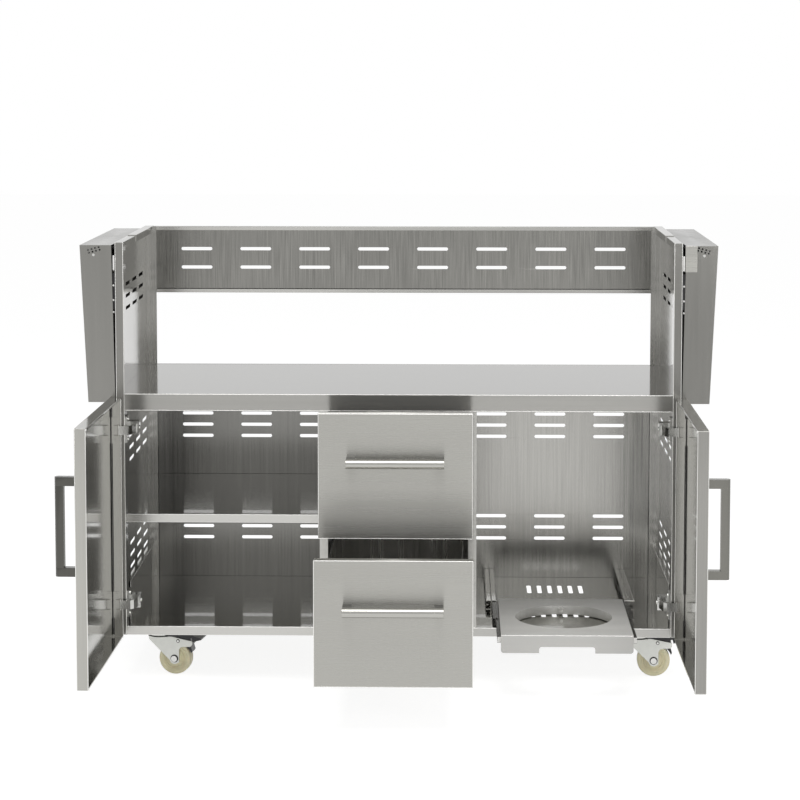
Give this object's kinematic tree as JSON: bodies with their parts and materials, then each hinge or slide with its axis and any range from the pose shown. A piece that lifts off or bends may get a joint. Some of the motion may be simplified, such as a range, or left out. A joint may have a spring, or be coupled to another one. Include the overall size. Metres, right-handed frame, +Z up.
{
  "type": "grill cart",
  "caption": "Stainless cabinet cart for a drop-in grill head, with hinged doors, sliding drawers, a gas bottle tray, folding side shelves and swivel casters.",
  "frame": {"origin": "on the ground under the middle of the whole cart as it stands open", "axes": "+X along the cart to the right seen from the front, +Y from front to back, +Z up; the doors and drawers open towards -Y"},
  "size_m": [1.428, 1.0168, 1.0035],
  "materials": {
    "panel_steel": "brushed stainless, grain up and down",
    "front_steel": "fine brushed stainless on the doors and drawer fronts",
    "inner_steel": "plain satin stainless inside the cabinet",
    "handle_steel": "smooth satin stainless",
    "slide_zinc": "bright zinc on pressed steel",
    "hinge_chrome": "bright nickel plate",
    "fork_zinc": "satin zinc plate on pressed steel",
    "wheel_nylon": "cream nylon with a dull sheen",
    "brake_black": "black plastic over a steel lever",
    "bracket_black": "black painted steel",
    "bumper_clear": "clear soft bumper"
  },
  "bodies": {
    "cabinet": {"left_side_panel": "panel_steel", "right_side_panel": "panel_steel", "upper_back_panel": "panel_steel", "lower_back_panel": "panel_steel", "deck": "panel_steel", "floor_pan": "inner_steel", "left_partition": "panel_steel", "right_partition": "panel_steel", "mid_shelf": "inner_steel", "shelf_supports": "inner_steel", "base_rails": "inner_steel", "rim_caps": "panel_steel", "upper_drawer_rails": "slide_zinc", "lower_drawer_rails": "slide_zinc", "tray_brackets": "slide_zinc", "tray_rails": "slide_zinc", "door_hinge_arms": "hinge_chrome", "wing_brackets": "bracket_black", "wing_pins": "hinge_chrome", "caster_plates": "fork_zinc", "panel_screws": "hinge_chrome"},
    "left_door": {"left_door": "front_steel", "left_door_handle": "handle_steel", "left_door_hinge_cups": "hinge_chrome", "left_door_bumpers": "bumper_clear"},
    "right_door": {"right_door": "front_steel", "right_door_handle": "handle_steel", "right_door_hinge_cups": "hinge_chrome", "right_door_bumpers": "bumper_clear"},
    "upper_drawer": {"upper_drawer_front": "front_steel", "upper_drawer_box": "inner_steel", "upper_drawer_handle": "handle_steel", "upper_drawer_slides": "slide_zinc"},
    "upper_drawer_middle": {"upper_middle_slides": "slide_zinc"},
    "lower_drawer": {"lower_drawer_front": "front_steel", "lower_drawer_box": "inner_steel", "lower_drawer_handle": "handle_steel", "lower_drawer_slides": "slide_zinc"},
    "lower_drawer_middle": {"lower_middle_slides": "slide_zinc"},
    "tray": {"bottle_tray": "front_steel", "tray_slides": "slide_zinc"},
    "tray_middle": {"tray_middle_slides": "slide_zinc"},
    "clamp": {"clamp_screw": "hinge_chrome"},
    "left_wing": {"left_side_shelf": "panel_steel"},
    "right_wing": {"right_side_shelf": "panel_steel", "right_shelf_plate": "handle_steel"},
    "front_left_caster": {"front_left_fork": "fork_zinc", "front_left_axle": "hinge_chrome"},
    "front_left_wheel": {"front_left_wheel": "wheel_nylon"},
    "front_left_brake": {"front_left_brake": "brake_black"},
    "front_right_caster": {"front_right_fork": "fork_zinc", "front_right_axle": "hinge_chrome"},
    "front_right_wheel": {"front_right_wheel": "wheel_nylon"},
    "front_right_brake": {"front_right_brake": "brake_black"},
    "back_left_caster": {"back_left_fork": "fork_zinc", "back_left_axle": "hinge_chrome"},
    "back_left_wheel": {"back_left_wheel": "wheel_nylon"},
    "back_right_caster": {"back_right_fork": "fork_zinc", "back_right_axle": "hinge_chrome"},
    "back_right_wheel": {"back_right_wheel": "wheel_nylon"}
  },
  "joints": [
    {"name": "left_door_hinge", "type": "hinge", "parent": "cabinet", "child": "left_door", "pos_m": [-0.6295, -0.04045, 0.3785], "axis": [0, 0, 1], "range_deg": [0, 91]},
    {"name": "right_door_hinge", "type": "hinge", "parent": "cabinet", "child": "right_door", "pos_m": [0.6295, -0.04045, 0.3785], "axis": [0, 0, -1], "range_deg": [0, 90]},
    {"name": "upper_drawer_slide", "type": "slide", "parent": "cabinet", "child": "upper_drawer", "axis": [0, -1, 0], "range_m": [-0.217, 0.183]},
    {"name": "upper_middle_slide", "type": "slide", "parent": "cabinet", "child": "upper_drawer_middle", "axis": [0, -1, 0], "range_m": [-0.1085, 0.0915]},
    {"name": "lower_drawer_slide", "type": "slide", "parent": "cabinet", "child": "lower_drawer", "axis": [0, -1, 0], "range_m": [-0.4, 0]},
    {"name": "lower_middle_slide", "type": "slide", "parent": "cabinet", "child": "lower_drawer_middle", "axis": [0, -1, 0], "range_m": [-0.2, 0]},
    {"name": "tray_slide", "type": "slide", "parent": "cabinet", "child": "tray", "axis": [0, 1, 0], "range_m": [0, 0.1555]},
    {"name": "tray_middle_slide", "type": "slide", "parent": "cabinet", "child": "tray_middle", "axis": [0, 1, 0], "range_m": [0, 0.07775]},
    {"name": "clamp_screw_slide", "type": "slide", "parent": "tray", "child": "clamp", "axis": [0, -1, 0], "range_m": [0, 0.01]},
    {"name": "left_wing_hinge", "type": "hinge", "parent": "cabinet", "child": "left_wing", "pos_m": [-0.683, 0.23705, 0.974], "axis": [0, 1, 0], "range_deg": [0, 92.6]},
    {"name": "right_wing_hinge", "type": "hinge", "parent": "cabinet", "child": "right_wing", "pos_m": [0.683, 0.23705, 0.974], "axis": [0, -1, 0], "range_deg": [0, 92.6]},
    {"name": "front_left_swivel", "type": "hinge", "parent": "cabinet", "child": "front_left_caster", "pos_m": [-0.549, 0.05205, 0.089], "axis": [0, 0, 1], "continuous": true},
    {"name": "front_left_roll", "type": "hinge", "parent": "front_left_caster", "child": "front_left_wheel", "pos_m": [-0.51344, 0.04642, 0.0375], "axis": [0.1564, 0.9877, 0], "continuous": true},
    {"name": "front_left_brake_pivot", "type": "hinge", "parent": "front_left_caster", "child": "front_left_brake", "pos_m": [-0.50455, 0.04501, 0.079], "axis": [0.1564, 0.9877, 0], "range_deg": [0, 6]},
    {"name": "front_right_swivel", "type": "hinge", "parent": "cabinet", "child": "front_right_caster", "pos_m": [0.549, 0.05205, 0.089], "axis": [0, 0, 1], "continuous": true},
    {"name": "front_right_roll", "type": "hinge", "parent": "front_right_caster", "child": "front_right_wheel", "pos_m": [0.58498, 0.05079, 0.0375], "axis": [0.0349, 0.9994, 0], "continuous": true},
    {"name": "front_right_brake_pivot", "type": "hinge", "parent": "front_right_caster", "child": "front_right_brake", "pos_m": [0.59397, 0.05048, 0.079], "axis": [0.0349, 0.9994, 0], "range_deg": [0, 6]},
    {"name": "back_left_swivel", "type": "hinge", "parent": "cabinet", "child": "back_left_caster", "pos_m": [-0.549, 0.41205, 0.089], "axis": [0, 0, 1], "continuous": true},
    {"name": "back_left_roll", "type": "hinge", "parent": "back_left_caster", "child": "back_left_wheel", "pos_m": [-0.513, 0.41205, 0.0375], "axis": [0, 1, 0], "continuous": true},
    {"name": "back_right_swivel", "type": "hinge", "parent": "cabinet", "child": "back_right_caster", "pos_m": [0.549, 0.41205, 0.089], "axis": [0, 0, 1], "continuous": true},
    {"name": "back_right_roll", "type": "hinge", "parent": "back_right_caster", "child": "back_right_wheel", "pos_m": [0.585, 0.41205, 0.0375], "axis": [0, 1, 0], "continuous": true}
  ],
  "couplings": [
    {"joint": "upper_middle_slide", "follows": "upper_drawer_slide", "ratio": 0.5},
    {"joint": "lower_middle_slide", "follows": "lower_drawer_slide", "ratio": 0.5},
    {"joint": "tray_slide", "follows": "right_door_hinge", "m_per_rad": 0.0989},
    {"joint": "tray_middle_slide", "follows": "right_door_hinge", "m_per_rad": 0.04945}
  ]
}
